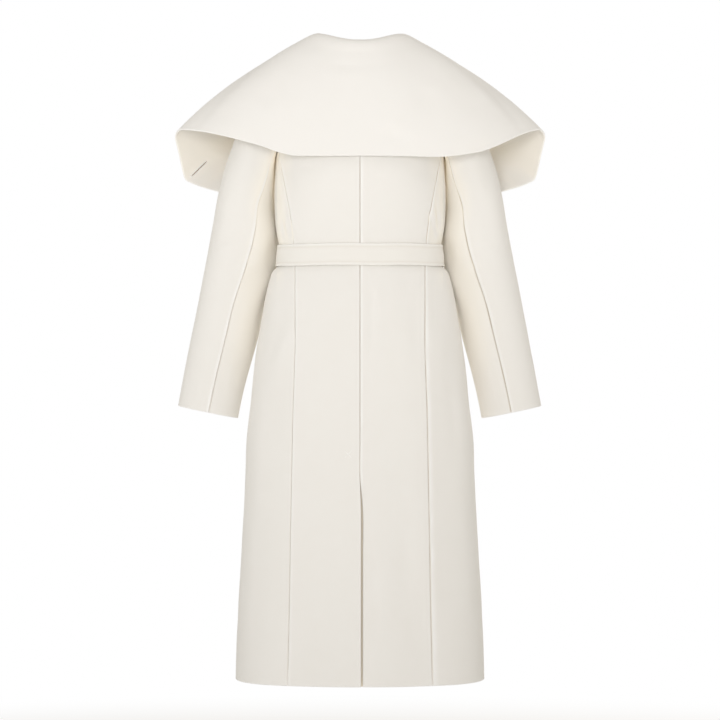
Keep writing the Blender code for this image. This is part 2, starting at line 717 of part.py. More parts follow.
def belt_knot():
    """A soft pad of cloth against the belt's face."""
    mesh = bmesh.new()
    around, rows = KNOT_SEGMENTS
    bmesh.ops.create_uvsphere(mesh, u_segments=around, v_segments=rows, radius=1.0)
    middle_z = (BELT_TOP_Z + BELT_BOTTOM_Z) / 2
    face = torso(-90, BELT_BOTTOM_Z, BELT_OUT)
    centre = Vector((KNOT_X, face.y - KNOT_HALF.y - SEAM_GAP, middle_z))
    for vert in mesh.verts:
        flat = math.hypot(vert.co.x, vert.co.z)
        spread = (
            (abs(vert.co.x) ** KNOT_ROUNDNESS + abs(vert.co.z) ** KNOT_ROUNDNESS)
            ** (1 / KNOT_ROUNDNESS)
        )
        grow = flat / spread if spread > 1e-6 else 1.0
        up = vert.co.z * grow
        across = vert.co.x * grow * (1 + KNOT_TAPER * up) + KNOT_SLANT * up
        shaped = (across, vert.co.y, up)
        vert.co = centre + Vector(a * b for a, b in zip(shaped, KNOT_HALF))
    finish_piece("belt_knot", mesh)


belt_knot()

BeltEnd = namedtuple("BeltEnd", "name start_x end_x start_z end_z layers")
BELT_ENDS = [
    BeltEnd("belt_end_left", 0.010, 0.036, -0.4045, -0.735, 0),
    BeltEnd("belt_end_right", -0.002, -0.020, -0.4045, -0.690, 1),
]
BELT_HALF_WIDTH = (BELT_TOP_Z - BELT_BOTTOM_Z) / 2
END_ROOM = 0.0012  # between the first end and the upper front
END_GAP = 0.0008  # between the ends


def belt_end(end):
    """Hangs from the knot over the upper front."""
    out = WRAP_LIFT + CLOTH / 2 + END_ROOM + BELT_CLOTH / 2
    out += end.layers * (BELT_CLOTH + END_GAP)

    def surface(across, share):
        z = blend(end.start_z, end.end_z, share)
        x = blend(end.start_x, end.end_x, share) + across
        return torso(turn_at(x, z, front=True), z, out)

    return surface


for end in BELT_ENDS:
    across = steps(-BELT_HALF_WIDTH, BELT_HALF_WIDTH, 3)
    wall(end.name, belt_end(end), across, steps(0.0, 1.0, 10), BELT_CLOTH)
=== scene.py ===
"""A long wrap coat in ivory milled wool, filled out as when it is worn, with nobody in it.

Metres, +Z up, +Y behind the wearer, +X at the wearer's left. Each cloth piece takes its shape from
the middle of its solid's wall in the frame, and is made again as a fine wall of cloth around it.
"""

import math
from collections import namedtuple

import bmesh
import bpy
import numpy as np
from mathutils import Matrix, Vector
from mathutils.kdtree import KDTree


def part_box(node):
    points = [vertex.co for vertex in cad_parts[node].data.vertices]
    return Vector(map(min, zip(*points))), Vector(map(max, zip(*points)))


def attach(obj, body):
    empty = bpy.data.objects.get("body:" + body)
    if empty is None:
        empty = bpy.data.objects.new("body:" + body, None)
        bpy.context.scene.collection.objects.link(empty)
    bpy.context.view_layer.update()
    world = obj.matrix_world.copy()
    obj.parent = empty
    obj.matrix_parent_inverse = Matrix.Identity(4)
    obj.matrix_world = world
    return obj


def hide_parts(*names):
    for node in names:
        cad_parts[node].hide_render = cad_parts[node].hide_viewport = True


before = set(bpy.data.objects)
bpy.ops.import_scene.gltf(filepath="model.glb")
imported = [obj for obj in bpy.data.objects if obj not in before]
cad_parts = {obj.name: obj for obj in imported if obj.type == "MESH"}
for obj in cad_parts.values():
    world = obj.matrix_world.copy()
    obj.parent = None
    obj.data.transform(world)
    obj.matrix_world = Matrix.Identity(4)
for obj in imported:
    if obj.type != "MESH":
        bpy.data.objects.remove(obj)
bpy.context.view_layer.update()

# ---- Centre back panels ----
# Two long panels of milled wool, sewn together down the middle of the back and open below as a
# vent. The seams are pressed open, so each edge rolls down into its seam, and the seam allowances
# under the cloth show as faint soft ridges beside it.

CLOTH_STEP = 0.0042  # between the fine wall's points
IVORY = (0.902, 0.880, 0.840, 1)
DEEP_IVORY = (0.862, 0.831, 0.776, 1)
# Painted light in the cloth's colour: a painted highlight beside seams and along edges, painted shade in
# the seams.
PAINTED_EDGE_HIGHLIGHT = (0.975, 0.965, 0.945, 1)
PAINTED_SEAM_SHADE = (0.50, 0.38, 0.25, 1)
PAINTED_BOUNCE_LIGHT = (0.988, 0.952, 0.880, 1)  # painted bounce light: lighter and warmer where the cloth lies close beside other cloth
PAINTED_GLOW_COLOUR = (0.36, 0.28, 0.16, 1)  # painted glow, given out as emission where light would shine through the cloth


SAME_POINT = 1e-5
TOLERANCE = 1e-6
LEAST_LEAN = 0.15  # of a face towards the way through the wall; the rim's narrow faces lean less


def wall_middle(node, thickness):
    """The points midway through a node's wall, the links between them, and those along its rim."""
    mesh = bmesh.new()
    mesh.from_mesh(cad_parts[node].data)
    bmesh.ops.remove_doubles(mesh, verts=mesh.verts, dist=SAME_POINT)
    mesh.verts.index_update()
    mesh.normal_update()
    tree = KDTree(len(mesh.verts))
    for vert in mesh.verts:
        tree.insert(vert.co, vert.index)
    tree.balance()
    facing = {
        vert.index: {
            k
            for _, k, away in tree.find_range(vert.co, thickness + TOLERANCE)
            if away > thickness - TOLERANCE
        }
        for vert in mesh.verts
    }
    pair_of = {}
    while facing:
        one = min(facing, key=lambda k: len(facing[k]))
        two = min(facing[one])
        pair_of[one] = pair_of[two] = min(one, two)
        for taken in (one, two):
            for k in facing.pop(taken):
                if k in facing:
                    facing[k].discard(taken)
    sides = {}
    for vert in mesh.verts:
        sides.setdefault(pair_of[vert.index], []).append(np.array(vert.co))
    places = {pair: (one + two) / 2 for pair, (one, two) in sides.items()}
    waiting = set()
    for face in mesh.faces:
        pairs = {pair_of[vert.index] for vert in face.verts}
        leans = [abs(np.dot(face.normal, np.subtract(*sides[pair]))) / thickness for pair in pairs]
        if len(pairs) == 3 and np.mean(leans) > LEAST_LEAN:
            waiting.add(face)
    while waiting:
        sheet, links, rim = {waiting.pop()}, {}, {}
        front = list(sheet)
        while front:
            for edge in front.pop().edges:
                found = waiting.intersection(edge.link_faces)
                waiting -= found
                sheet |= found
                front.extend(found)
        for edge in {edge for face in sheet for edge in face.edges}:
            one, two = (pair_of[vert.index] for vert in edge.verts)
            at_rim = not sheet.issuperset(edge.link_faces)
            for found in (links, rim) if at_rim else (links,):
                found.setdefault(one, set()).add(two)
                found.setdefault(two, set()).add(one)
        if len(links) == len(places) and all(len(beside) == 2 for beside in rim.values()):
            break
    mesh.free()
    return places, links, rim


def middle_rows(node, thickness):
    """The wall's middle as rows of points: rows from below, points from left to right from outside."""
    places, links, rim = wall_middle(node, thickness)
    loop = [next(iter(rim))]
    while len(loop) < len(rim):
        loop.append(next(k for k in rim[loop[-1]] if k not in loop[-2:]))
    half = (len(loop) + 4) // 2  # rows and columns together
    root = math.isqrt(half * half - 4 * len(places))
    points = np.array([places[k] for k in loop])
    after, before = np.roll(points, -1, 0) - points, points - np.roll(points, 1, 0)
    after /= np.linalg.norm(after, axis=1)[:, None]
    before /= np.linalg.norm(before, axis=1)[:, None]
    turning = 1 - (after * before).sum(1)
    best = None
    for across in {(half + root) // 2, (half - root) // 2}:
        down = half - across
        corners = turning + sum(
            np.roll(turning, -k) for k in (across - 1, across + down - 2, 2 * across + down - 3)
        )
        start = int(corners.argmax())
        if best is None or corners[start] > best[0]:
            best = (corners[start], start, across, down)
    _, start, across, down = best
    around = len(loop)
    rows = [[loop[(start + k) % around] for k in range(across)]]
    used = set(rows[0])
    for i in range(1, down):
        row = [loop[(start - i) % around]]
        for j in range(1, across):
            shared = links[rows[-1][j]] & links[row[-1]]
            row.append(next(k for k in shared if k != rows[-1][j - 1] and k not in used))
        used.update(row)
        rows.append(row)
    grid = np.array([[places[k] for k in row] for row in rows])
    if abs((grid[-1] - grid[0])[:, 2].mean()) < abs((grid[:, -1] - grid[:, 0])[:, 2].mean()):
        grid = grid.transpose(1, 0, 2)
    if (grid[-1] - grid[0])[:, 2].mean() < 0:
        grid = grid[::-1]
    offset = normals_of(grid) * thickness / 2
    return grid if area_of(grid + offset) > area_of(grid - offset) else grid[:, ::-1]


def area_of(grid):
    """The area of a grid of points, whose outer face is the larger one."""
    across, along = np.diff(grid, axis=1)[:-1], np.diff(grid, axis=0)[:, :-1]
    return np.linalg.norm(np.cross(across, along), axis=2).sum()


def through(points, knots, places):
    """Values at new places on a smooth curve through rows of points."""
    slopes = np.gradient(points, knots, axis=0, edge_order=2 if len(knots) > 2 else 1)
    i = np.clip(np.searchsorted(knots, places, side="right") - 1, 0, len(knots) - 2)
    shape = (-1,) + (1,) * (points.ndim - 1)
    width = (knots[i + 1] - knots[i]).reshape(shape)
    t = (np.asarray(places) - knots[i]).reshape(shape) / width
    start = (1 + 2 * t) * (1 - t) ** 2 * points[i] + t * (1 - t) ** 2 * width * slopes[i]
    return start + t * t * (3 - 2 * t) * points[i + 1] - t * t * (1 - t) * width * slopes[i + 1]


def lengths(points):
    """How far each row lies along the cloth, as the mean over its points."""
    steps = np.linalg.norm(np.diff(points, axis=0), axis=2).mean(1)
    return np.concatenate([[0.0], np.cumsum(steps)])


EDGE_ROWS = np.array([0.0, 0.04, 0.14, 0.3, 0.52, 0.85, 1.3])  # in thicknesses from the edge


def spread(length, step, thickness):
    """Places from 0 to length, closer towards both ends, where the cloth's edge turns."""
    near = thickness * EDGE_ROWS
    count = max(int((length - 2 * near[-1]) / step), 2)
    middle = np.linspace(near[-1], length - near[-1], count + 1)[1:-1]
    return np.concatenate([near, middle, (length - near)[::-1]])


def normals_of(grid):
    """The outward normals of a grid of points."""
    across = np.gradient(grid, axis=1)
    along = np.gradient(grid, axis=0)
    normal = np.cross(across, along)
    return normal / np.maximum(np.linalg.norm(normal, axis=2), 1e-12)[..., None]


def ramp(value, start, end):
    """From 0 at start to 1 at end, with soft ends."""
    t = np.clip((value - start) / (end - start), 0, 1)
    return t * t * (3 - 2 * t)


WAVES = ((5.1, 2.3, 3.7), (-3.3, 4.9, 2.6), (2.2, -3.9, 5.6), (4.4, 3.1, -4.7))
WAVE_SHIFT, USUAL_PEAK = 1.7, 2.6


def ripple(points, size, shift=0.0):
    """Smooth uneven waves between about -1 and 1, of that size along each axis."""
    p = points / np.array(size)
    total = 0
    for k, (a, b, c) in enumerate(WAVES):
        wave = p[..., 0] * a + p[..., 1] * b + p[..., 2] * c
        total = total + np.sin(wave + WAVE_SHIFT * k + shift)
    return total / USUAL_PEAK


# A crease is a soft trough, drawn on the coat as seen from behind or from in front, from one point
# by way of a second to a third. The ridge beside it is a share of its depth.
Crease = namedtuple("Crease", "start_x start_z by_x by_z end_x end_z width depth ridge")
CREASE_STEPS = 12
RISEN, FALLING = 0.25, 0.7  # the shares of its length between which a crease has its full depth
RIDGE_AWAY, RIDGE_SPREAD = 1.7, 1.4  # in the crease's widths


def pressed(points, creases):
    """How far the creases move the cloth in or out."""
    moved = np.zeros(points.shape[:2])
    x, z = points[..., 0], points[..., 2]
    for crease in creases:
        start = np.array([crease.start_x, crease.start_z])
        by = np.array([crease.by_x, crease.by_z])
        end = np.array([crease.end_x, crease.end_z])
        nearest = np.full(x.shape, 1e9)
        side, place = np.zeros(x.shape), np.zeros(x.shape)
        knots = [
            start * (1 - t) ** 2 + 2 * by * t * (1 - t) + end * t * t
            for t in np.linspace(0, 1, CREASE_STEPS + 1)
        ]
        for k, (one, two) in enumerate(zip(knots, knots[1:])):
            way = two - one
            t = np.clip(((x - one[0]) * way[0] + (z - one[1]) * way[1]) / (way @ way), 0, 1)
            off_x, off_z = x - one[0] - t * way[0], z - one[1] - t * way[1]
            away = np.hypot(off_x, off_z)
            closer = away < nearest
            nearest = np.where(closer, away, nearest)
            side = np.where(closer, np.sign(off_x * way[1] - off_z * way[0]), side)
            place = np.where(closer, (k + t) / CREASE_STEPS, place)
        across = nearest * side / crease.width
        strength = ramp(place, 0.0, RISEN) * ramp(place, 1.0, FALLING)
        strength = strength * (1 + 0.3 * np.sin(place * 9 + crease.start_x * 70))
        beside = crease.ridge * np.exp(-((across - RIDGE_AWAY) ** 2) / RIDGE_SPREAD)
        moved += crease.depth * strength * (-np.exp(-(across**2)) + beside)
    return moved


# How the four edges of a piece are worked. In a seam the cloth rolls down by its dip and the allowance
# lifts it from below. Its colour holds a painted highlight beside the seam and painted shade in the seam
# itself. Below the height given last the edge is free: turned, faced and pressed to a firm roll.
Edges = namedtuple("Edges", "left right bottom top")
Edge = namedtuple("Edge", "dip lift light dark free_below")
SEWN, FREE = -9, 9
SEAM_ROLL = 0.0024  # the width of the roll into a seam
ALLOWANCE_WIDTH = 0.012
FREE_ROLL, FREE_LIGHT = 0.00025, 0.55
# How far from the edge each line of roll, of painted highlight and of painted shade runs, and its width.
SEAM_LIGHT_LINE, SEAM_DARK_LINE = (0.0026, 0.0011), (0, 0.0010)
FREE_ROLL_LINE, FREE_LIGHT_LINE = (0.0016, 0.0012), (0.0008, 0.0010)
PLAIN_EDGE = Edge(0, 0, 0, 0, SEWN)
FREE_EDGE = Edge(0, 0, 0, 0, FREE)


def bell(distance, middle, width):
    """1 at the middle, falling softly to 0 on both sides of it."""
    return np.exp(-(((distance - middle) / width) ** 2))


def worked_edges(u, v, length_u, length_v, points, edges):
    """How far the cloth is moved along its edges, and the painted highlight and shade in its colour
    there.
    """
    distances = Edges(u, length_u - u, v, length_v - v)
    uneven = 1 + 0.35 * ripple(points, (0.05, 0.05, 0.05), 2.0)
    moved, painted_shading = np.zeros(points.shape[:2]), np.zeros(points.shape[:2])
    for distance, edge in zip(distances, edges):
        free = ramp(points[..., 2], edge.free_below + 0.01, edge.free_below - 0.03)
        over = ramp(distance, ALLOWANCE_WIDTH + 0.005, ALLOWANCE_WIDTH - 0.003)
        seam = uneven * (1 - free)
        moved += seam * (edge.lift * over - edge.dip * bell(distance, 0, SEAM_ROLL))
        light, dark = edge.light * bell(distance, *SEAM_LIGHT_LINE), bell(distance, *SEAM_DARK_LINE)
        painted_shading += seam * (light - edge.dark * dark)
        moved += free * FREE_ROLL * bell(distance, *FREE_ROLL_LINE)
        painted_shading += free * FREE_LIGHT * bell(distance, *FREE_LIGHT_LINE)
    return moved, painted_shading


# Where the sleeve's inner side runs, by height.
INNER_ARM_Z = (-0.560, -0.505, -0.449, -0.400, -0.340, -0.160)
INNER_ARM_X = (0.198, 0.187, 0.175, 0.160, 0.1555, 0.150)
SLEEVE_FROM_X = 0.150
LEAST_GLOW, MORE_GLOW = 0.03, 0.30


def under_arm(points, normals):
    """The painted bounce light on the cloth between a sleeve and the body, and its painted glow."""
    x, z = np.abs(points[..., 0]), points[..., 2]
    outward = normals[..., 0] * np.sign(points[..., 0])
    sleeve = x > SLEEVE_FROM_X
    body_side = ramp(outward, 0.60, 0.95) * ramp(z, -0.46, -0.40)
    sleeve_side = ramp(outward, -0.05, -0.75) * ramp(z, -0.66, -0.50)
    beyond_body = ramp(x - np.interp(z, INNER_ARM_Z, INNER_ARM_X), 0.016, 0.001)
    sleeve_glow = ramp(outward, -0.30, -0.90) * beyond_body * ramp(z, -0.42, -0.36)
    glow = np.where(sleeve, sleeve_glow, ramp(outward, 0.94, 0.99))
    glow = glow * (LEAST_GLOW + MORE_GLOW * ramp(z, -0.335, -0.250)) * ramp(z, -0.42, -0.38)
    return np.where(sleeve, sleeve_side, body_side), glow


ROUNDED = 0.55  # how far in from the rim the edge's rounding reaches, in thicknesses
DEEPEST_DIP = 0.8  # of half the wall


def fine_wall(name, grid, material, thickness, relief, edges, step, painted_light):
    """A closed wall of cloth with round edges, whose middle runs through the grid."""
    knots_v, knots_u = lengths(grid), lengths(grid.transpose(1, 0, 2))
    places_v = spread(knots_v[-1], step, thickness)
    places_u = spread(knots_u[-1], step, thickness)
    plain = through(grid, knots_v, places_v).transpose(1, 0, 2)
    plain = through(plain, knots_u, places_u).transpose(1, 0, 2)
    normals = normals_of(plain)
    u, v = np.meshgrid(places_u, places_v)
    middle = plain + normals * relief(plain, normals)[..., None]
    normals = normals_of(middle)
    reach = thickness * ROUNDED
    from_edge = np.minimum(np.minimum(u, u[:, ::-1]), np.minimum(v, v[::-1])) / reach
    half = thickness / 2 * np.sqrt(1 - (1 - np.clip(from_edge, 0, 1)) ** 2)
    work, painted_shading = worked_edges(u, v, knots_u[-1], knots_v[-1], plain, edges)
    work = work * np.clip(from_edge, 0, 1)
    outer = middle + normals * (half + np.maximum(work, -DEEPEST_DIP * half))[..., None]
    inner = middle - normals * half[..., None]
    down, across = u.shape
    index = np.arange(down * across).reshape(down, across)
    inside = index.copy()
    inside[1:-1, 1:-1] = down * across + np.arange((down - 2) * (across - 2)).reshape(down - 2, -1)
    quads = [
        np.stack([k[:-1, :-1], k[:-1, 1:], k[1:, 1:], k[1:, :-1]], axis=-1).reshape(-1, 4)
        for k in (index, inside)
    ]
    quads[1] = quads[1][:, ::-1]
    points = np.concatenate([outer.reshape(-1, 3), inner[1:-1, 1:-1].reshape(-1, 3)])
    flat = np.stack([u, v], axis=-1)
    flat = np.concatenate([flat.reshape(-1, 2), flat[1:-1, 1:-1].reshape(-1, 2)])
    painted_shading = np.concatenate([painted_shading.ravel(), painted_shading[1:-1, 1:-1].ravel()])
    layers = {"painted_shading": painted_shading}
    # The painted bounce light and painted glow of both faces.
    sides = zip(painted_light(outer, normals), painted_light(inner, -normals))
    for layer, (shown, hidden) in zip(("painted_bounce", "painted_glow"), sides):
        layers[layer] = np.concatenate([shown.ravel(), hidden[1:-1, 1:-1].ravel()])
    return cloth_object(name, points, np.concatenate(quads), material, flat, layers)


def cloth_object(name, points, quads, material, flat, layers):
    """A smooth mesh object with the cloth's own lengths in metres as its UV map, and its layers."""
    data = bpy.data.meshes.new(name)
    data.from_pydata(points.tolist(), [], quads.tolist())
    layer = data.uv_layers.new(name="cloth")
    layer.uv.foreach_set("vector", flat[quads.reshape(-1)].astype(np.float32).ravel())
    for layer_name, values in layers.items():
        shade = data.attributes.new(name=layer_name, type="FLOAT", domain="POINT")
        shade.data.foreach_set("value", values.astype(np.float32))
    data.shade_smooth()
    data.materials.append(material)
    data.validate()
    piece = bpy.data.objects.new(name, data)
    bpy.context.scene.collection.objects.link(piece)
    return piece


def link(tree, source, target):
    tree.links.new(source, target)


TUFT_SIZE, SOFT_SIZE, BROAD_SIZE = 0.006, 0.022, 0.075  # of its tufts and its patches of tone


def milled_wool_group():
    """Milled wool: short felted fibres over a fine twill, in a colour that is nowhere quite even.

    The mesh's attributes paint light into it: a painted highlight beside seams and along edges,
    painted shade in a seam, a lighter and warmer painted bounce light where cloth lies close beside
    cloth, and a painted glow, given out as emission where light would shine through the cloth.
    """
    group = bpy.data.node_groups.new("milled wool", "ShaderNodeTree")
    face = group.interface
    for name, kind, value in (
        ("Colour", "NodeSocketColor", IVORY),
        ("Deep Colour", "NodeSocketColor", DEEP_IVORY),
        ("Mottle", "NodeSocketFloat", 0.5),
        ("Fibre Size", "NodeSocketFloat", 0.0011),
        ("Twill Size", "NodeSocketFloat", 0.0017),
    ):
        socket = face.new_socket(name=name, in_out="INPUT", socket_type=kind)
        socket.default_value = value
    face.new_socket(name="Colour", in_out="OUTPUT", socket_type="NodeSocketColor")
    face.new_socket(name="Roughness", in_out="OUTPUT", socket_type="NodeSocketFloat")
    face.new_socket(name="Height", in_out="OUTPUT", socket_type="NodeSocketFloat")
    face.new_socket(name="Painted Glow", in_out="OUTPUT", socket_type="NodeSocketColor")
    nodes = group.nodes
    given, put_out = nodes.new("NodeGroupInput"), nodes.new("NodeGroupOutput")
    place = nodes.new("ShaderNodeTexCoord").outputs["Object"]
    cloth = nodes.new("ShaderNodeUVMap")
    cloth.uv_map = "cloth"

    def math_node(operation, first, second):
        node = nodes.new("ShaderNodeMath")
        node.operation = operation
        for socket, value in zip(node.inputs, (first, second)):
            if isinstance(value, (int, float)):
                socket.default_value = value
            else:
                link(group, value, socket)
        return node.outputs[0]

    def cloud(size, detail, vector=place):
        noise = nodes.new("ShaderNodeTexNoise")
        noise.inputs["Detail"].default_value = detail
        link(group, vector, noise.inputs["Vector"])
        if isinstance(size, float):
            noise.inputs["Scale"].default_value = 1 / size
        else:
            link(group, math_node("DIVIDE", 1.0, size), noise.inputs["Scale"])
        return noise.outputs["Fac"]

    fibres = cloud(given.outputs["Fibre Size"], 4.0)
    tufts = cloud(TUFT_SIZE, 3.0)
    broad = cloud(BROAD_SIZE, 2.0)
    soft = cloud(SOFT_SIZE, 2.0)
    twill = nodes.new("ShaderNodeTexWave")
    twill.wave_type, twill.bands_direction = "BANDS", "DIAGONAL"
    twill.inputs["Distortion"].default_value = 2.5
    twill.inputs["Detail"].default_value = 2.0
    twill.inputs["Detail Scale"].default_value = 1.6
    link(group, cloth.outputs["UV"], twill.inputs["Vector"])
    twill_scale = math_node("DIVIDE", 0.16, given.outputs["Twill Size"])
    link(group, twill_scale, twill.inputs["Scale"])
    mottle = math_node("ADD", math_node("MULTIPLY", broad, 0.6), math_node("MULTIPLY", soft, 0.4))
    mottle = math_node("ADD", math_node("MULTIPLY", mottle, 0.8), math_node("MULTIPLY", fibres, 0.2))
    spread_out = nodes.new("ShaderNodeMapRange")
    spread_out.inputs["From Min"].default_value = 0.34
    spread_out.inputs["From Max"].default_value = 0.66
    link(group, mottle, spread_out.inputs["Value"])
    mix = nodes.new("ShaderNodeMix")
    mix.data_type = "RGBA"
    share = math_node("MULTIPLY", spread_out.outputs["Result"], given.outputs["Mottle"])
    link(group, share, mix.inputs["Factor"])
    link(group, given.outputs["Colour"], mix.inputs["A"])
    link(group, given.outputs["Deep Colour"], mix.inputs["B"])
    colour = next(s for s in mix.outputs if s.type == "RGBA")
    # Painted bounce light, painted highlight and painted shade, mixed into the colour.
    for toward, layer, amount in (
        (PAINTED_BOUNCE_LIGHT, "painted_bounce", 1.0), (PAINTED_EDGE_HIGHLIGHT, "painted_shading", 1.0), (PAINTED_SEAM_SHADE, "painted_shading", -1.0)
    ):
        painted_shading = nodes.new("ShaderNodeAttribute")
        painted_shading.attribute_name = layer
        shade = nodes.new("ShaderNodeMix")
        shade.data_type = "RGBA"
        link(group, math_node("MULTIPLY", painted_shading.outputs["Fac"], amount), shade.inputs["Factor"])
        link(group, colour, shade.inputs["A"])
        shade.inputs["B"].default_value = toward
        colour = next(s for s in shade.outputs if s.type == "RGBA")
    link(group, colour, put_out.inputs["Colour"])
    rough = math_node("ADD", math_node("MULTIPLY", fibres, 0.14), 0.80)
    link(group, rough, put_out.inputs["Roughness"])
    height = math_node("ADD", math_node("MULTIPLY", fibres, 0.5), math_node("MULTIPLY", tufts, 0.35))
    height = math_node("ADD", height, math_node("MULTIPLY", twill.outputs["Fac"], 0.15))
    link(group, height, put_out.inputs["Height"])
    lit = nodes.new("ShaderNodeAttribute")
    lit.attribute_name = "painted_glow"
    glow = nodes.new("ShaderNodeMix")
    glow.data_type = "RGBA"
    link(group, lit.outputs["Fac"], glow.inputs["Factor"])
    glow.inputs["A"].default_value = (0, 0, 0, 1)
    glow.inputs["B"].default_value = PAINTED_GLOW_COLOUR
    link(group, next(s for s in glow.outputs if s.type == "RGBA"), put_out.inputs["Painted Glow"])
    return group


milled_wool = milled_wool_group()


BUMP_STRENGTH, FIBRE_HEIGHT = 0.45, 0.00022


def wool_material(name, colour, deep_colour, mottle, sheen):
    """A wool cloth's finish: rough, with the faint light fuzz of its raised fibres."""
    material = bpy.data.materials.new(name)
    material.use_nodes = True
    tree = material.node_tree
    shader = tree.nodes["Principled BSDF"]
    wool = tree.nodes.new("ShaderNodeGroup")
    wool.node_tree = milled_wool
    wool.inputs["Colour"].default_value = colour
    wool.inputs["Deep Colour"].default_value = deep_colour
    wool.inputs["Mottle"].default_value = mottle
    bump = tree.nodes.new("ShaderNodeBump")
    bump.inputs["Strength"].default_value = BUMP_STRENGTH
    bump.inputs["Distance"].default_value = FIBRE_HEIGHT
    link(tree, wool.outputs["Height"], bump.inputs["Height"])
    link(tree, bump.outputs["Normal"], shader.inputs["Normal"])
    link(tree, wool.outputs["Colour"], shader.inputs["Base Color"])
    link(tree, wool.outputs["Roughness"], shader.inputs["Roughness"])
    # The painted glow goes out as emission, though the cloth is no lamp.
    link(tree, wool.outputs["Painted Glow"], shader.inputs["Emission Color"])
    shader.inputs["Emission Strength"].default_value = 1.0
    shader.inputs["Specular IOR Level"].default_value = 0.25
    shader.inputs["Sheen Weight"].default_value = sheen
    shader.inputs["Sheen Roughness"].default_value = 0.6
    shader.inputs["Sheen Tint"].default_value = (1.0, 0.985, 0.95, 1)
    return material


body_wool = wool_material("body wool", IVORY, DEEP_IVORY, 0.22, 0.10)
PANEL_CLOTH = 0.0025

# The folds behind: down from the belt, up from it into the bodice, and in from the armholes.
BACK_CREASES = [
    Crease(-0.019, -0.424, -0.026, -0.490, -0.014, -0.575, 0.0075, 0.0013, 0.5),
    Crease(0.128, -0.470, 0.150, -0.530, 0.172, -0.590, 0.0085, 0.0011, 0.6),
    Crease(0.112, -0.500, 0.131, -0.560, 0.140, -0.640, 0.0100, 0.0008, 0.4),
    Crease(-0.150, -0.505, -0.168, -0.620, -0.174, -0.760, 0.0110, 0.0014, 0.5),
    Crease(-0.072, -0.700, -0.080, -0.850, -0.086, -1.040, 0.0150, 0.0011, 0.5),
    Crease(0.060, -0.860, 0.066, -0.960, 0.052, -1.080, 0.0160, 0.0010, 0.4),
    Crease(-0.020, -0.860, -0.028, -0.990, -0.022, -1.120, 0.0130, 0.0010, 0.5),
    Crease(0.178, -0.800, 0.190, -0.950, 0.186, -1.110, 0.0150, 0.0013, 0.5),
    Crease(-0.120, -0.290, -0.131, -0.315, -0.134, -0.352, 0.0038, 0.0020, 0.9),
    Crease(-0.136, -0.262, -0.142, -0.300, -0.138, -0.352, 0.0042, 0.0022, 0.8),
    Crease(0.141, -0.300, 0.139, -0.325, 0.132, -0.353, 0.0040, 0.0016, 0.9),
    Crease(0.126, -0.310, 0.124, -0.330, 0.119, -0.353, 0.0038, 0.0013, 0.9),
    Crease(0.100, -0.215, 0.085, -0.225, 0.060, -0.222, 0.0080, 0.0006, 0.4),
    Crease(-0.020, -0.235, -0.050, -0.250, -0.085, -0.238, 0.0090, 0.0006, 0.4),
]
# The folds in front: out from the tie, down the skirt, and up from the belt into the bodice.
FRONT_CREASES = [
    Crease(-0.020, -0.412, -0.050, -0.500, -0.058, -0.640, 0.0085, 0.0018, 0.6),
    Crease(0.022, -0.410, 0.062, -0.470, 0.084, -0.600, 0.0080, 0.0016, 0.6),
    Crease(-0.046, -0.405, -0.104, -0.450, -0.140, -0.560, 0.0085, 0.0013, 0.5),
    Crease(0.094, -0.600, 0.104, -0.760, 0.098, -0.960, 0.0140, 0.0015, 0.5),
    Crease(-0.088, -0.720, -0.096, -0.880, -0.108, -1.080, 0.0150, 0.0015, 0.5),
    Crease(-0.160, -0.600, -0.176, -0.760, -0.180, -0.980, 0.0130, 0.0013, 0.5),
    Crease(0.158, -0.500, 0.172, -0.640, 0.178, -0.820, 0.0110, 0.0012, 0.5),
    Crease(-0.120, -0.300, -0.126, -0.325, -0.118, -0.352, 0.0040, 0.0012, 0.9),
    Crease(0.112, -0.312, 0.120, -0.330, 0.124, -0.352, 0.0040, 0.0011, 0.9),
    Crease(-0.030, -0.334, -0.045, -0.343, -0.070, -0.350, 0.0040, 0.0008, 0.6),
]


HANG_DEPTH, HANG_SIZE = 0.0006, (0.16, 0.16, 0.75)
UNEVEN_DEPTH, UNEVEN_SIZE = 0.00016, (0.05, 0.05, 0.09)


def body_relief(face, normals):
    """The loose hang of the body's cloth: its creases and a faint unevenness all over."""
    behind = ramp(face[..., 1], -0.03, 0.03)
    loose = ramp(face[..., 2], -0.41, -0.60)
    moved = pressed(face, BACK_CREASES) * behind + pressed(face, FRONT_CREASES) * (1 - behind)
    moved = moved + HANG_DEPTH * loose * ripple(face, HANG_SIZE)
    return moved + UNEVEN_DEPTH * ripple(face, UNEVEN_SIZE, 1.0)


def cloth_piece(node, material, thickness, relief, edges, step=CLOTH_STEP,
                painted_light=under_arm):
    """Makes a node's cloth again as a fine wall, and hides the node's own solid."""
    grid = middle_rows(node, thickness)
    piece = fine_wall(node + "_cloth", grid, material, thickness, relief, edges, step, painted_light)
    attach(piece, "root")
    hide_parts(node)
    return piece


VENT_TOP_Z = -0.775
SHOULDER_SEAM = Edge(0.0005, 0, 0, 0.2, SEWN)
back_edges = {
    "left": Edges(
        left=Edge(0.0002, 0.0003, 0.45, 0.10, SEWN),
        right=Edge(0.0003, 0.0004, 0.25, 0.25, VENT_TOP_Z),
        bottom=FREE_EDGE,
        top=SHOULDER_SEAM,
    ),
    "right": Edges(
        left=Edge(0.0004, 0.0006, 0.80, 0.25, VENT_TOP_Z),
        right=Edge(0.0005, 0.0004, 0.20, 0.30, SEWN),
        bottom=FREE_EDGE,
        top=SHOULDER_SEAM,
    ),
}
for side in ("left", "right"):
    back = cloth_piece(f"back_{side}", body_wool, PANEL_CLOTH, body_relief, back_edges[side])

# ---- Vent underlap ----
# A strip of the same wool inside the vent, joined to the right back panel and faced at its edge.
# The left panel's edge lies over it. Its colour is darker and warmer than the panels':
# painted shade, for the shade that the panels cast on it.

